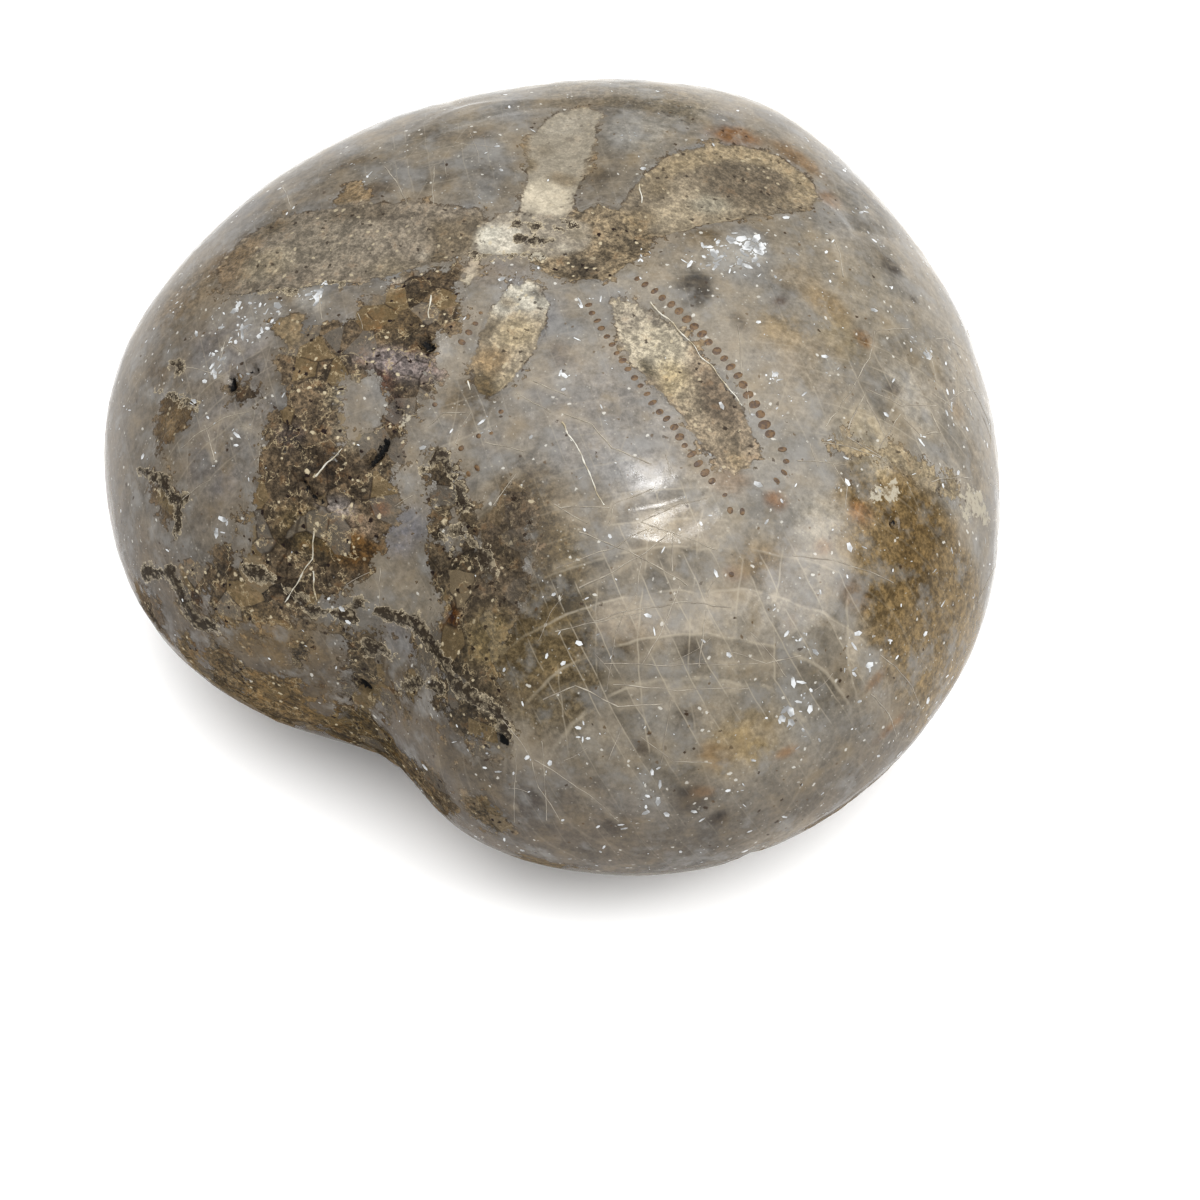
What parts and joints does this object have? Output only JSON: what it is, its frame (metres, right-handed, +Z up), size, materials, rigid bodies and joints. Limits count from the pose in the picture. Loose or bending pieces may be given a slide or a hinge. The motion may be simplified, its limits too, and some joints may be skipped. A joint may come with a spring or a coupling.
{
  "type": "fossil sea urchin",
  "caption": "Polished fossil heart urchin, a domed heart-shaped stone with a front notch, a five-petal star on its crown and a small flat underneath to rest on.",
  "frame": {"origin": "middle of the footprint's bounding box, at the level of the flat it rests on", "axes": "+Z up through the crown, -Y towards the front end with the notch, +Y towards the blunt rear end, +X towards the fuller lobe"},
  "size_m": [0.0672, 0.0644, 0.0343],
  "materials": {
    "fossil_stone": "polished"
  },
  "bodies": {
    "root": {"urchin_test": "fossil_stone"}
  },
  "joints": []
}
